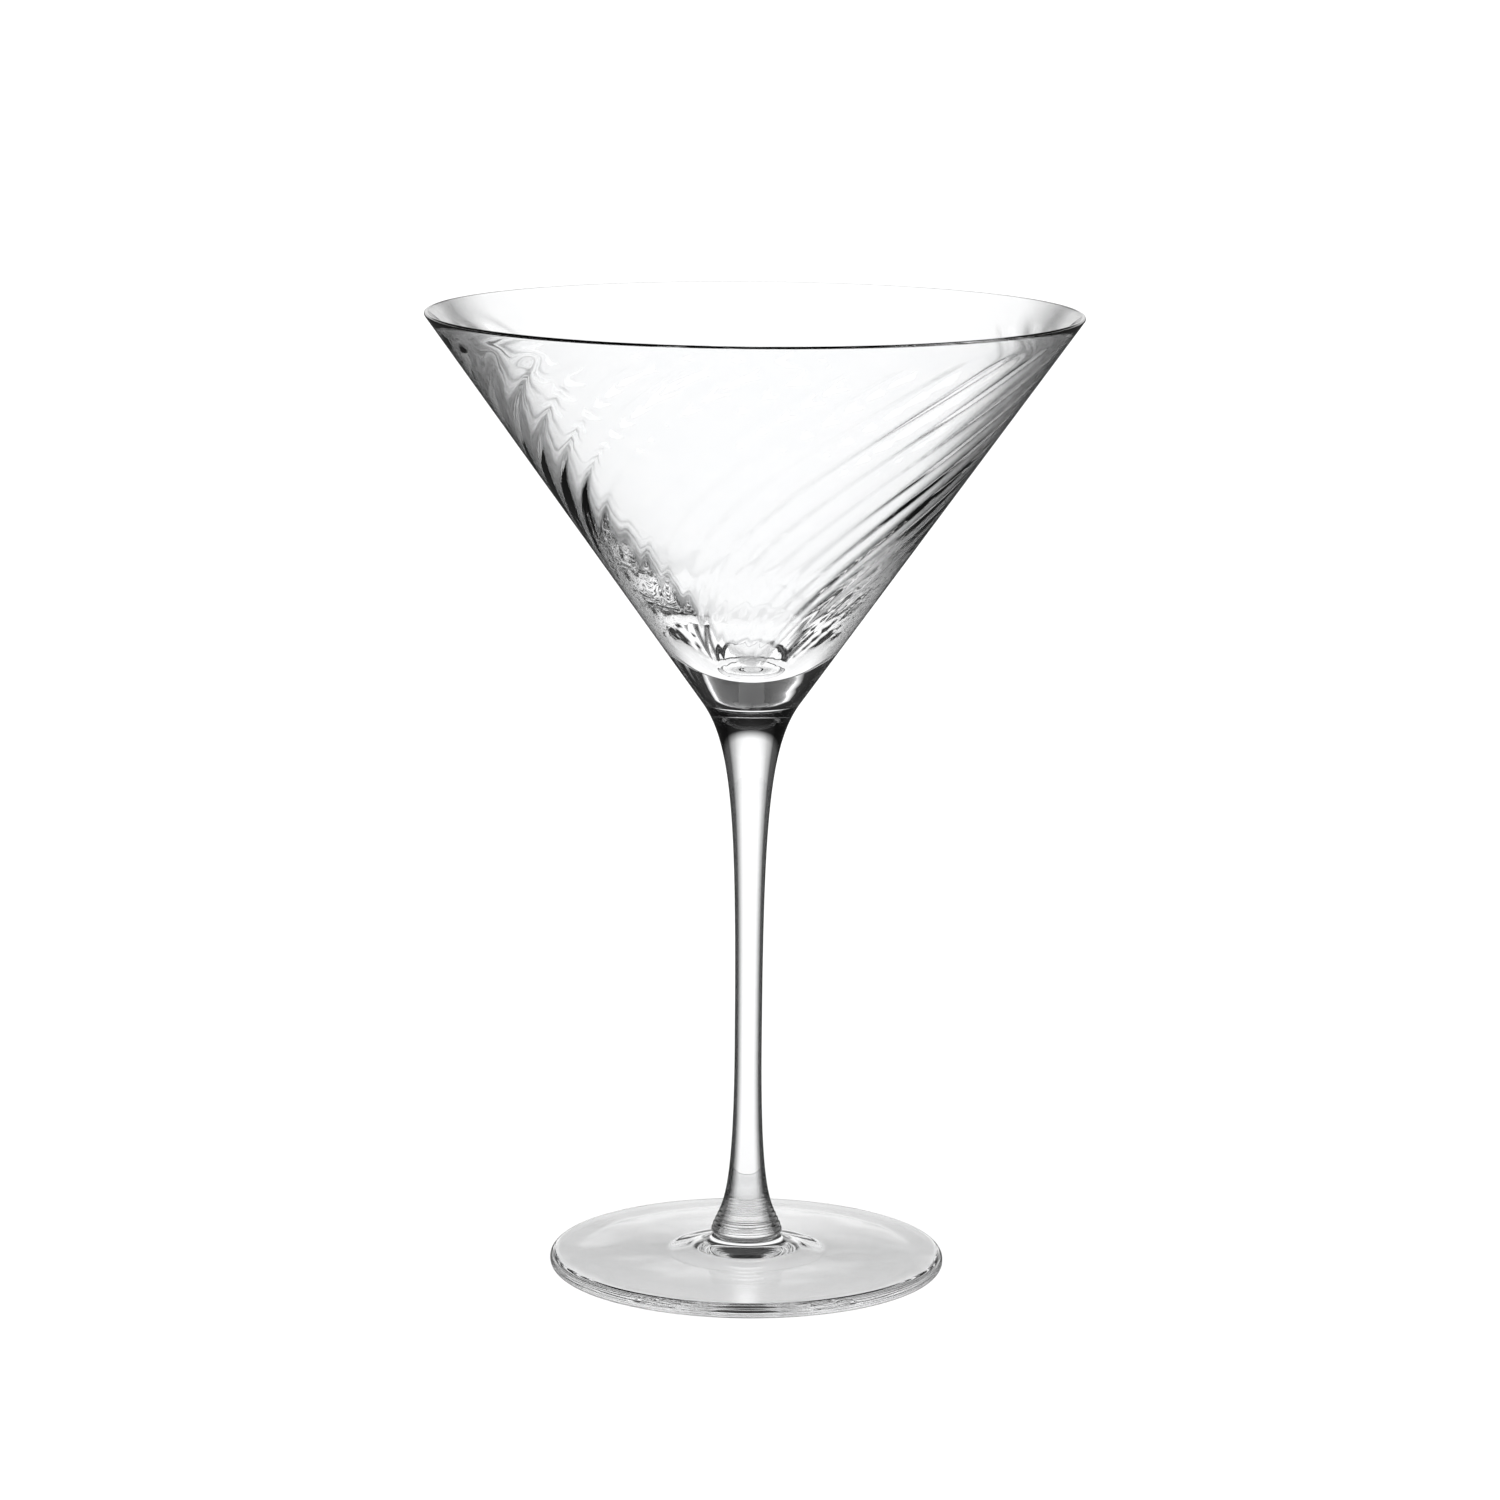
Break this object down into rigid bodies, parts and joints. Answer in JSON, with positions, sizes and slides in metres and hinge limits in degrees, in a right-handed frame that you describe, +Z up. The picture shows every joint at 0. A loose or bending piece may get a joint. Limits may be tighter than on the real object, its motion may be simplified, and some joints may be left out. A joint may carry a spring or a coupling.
{
  "type": "martini glass",
  "caption": "Clear stemmed cocktail glass: wide conical bowl with swirled ribs inside, slim drawn stem and flat round foot.",
  "frame": {"origin": "middle of the ring that the foot stands on, in the plane of the table", "axes": "+Z up along the stem to the rim; the glass is round about Z, so X and Y are any two level directions at right angles"},
  "size_m": [0.12, 0.12, 0.179],
  "materials": {
    "foot_glass": "clear, fire-polished",
    "stem_glass": "clear, fire-polished",
    "bowl_glass": "clear, smooth outside, swirled optic ribs inside"
  },
  "bodies": {
    "root": {"foot": "foot_glass", "stem": "stem_glass", "bowl": "bowl_glass"}
  },
  "joints": []
}
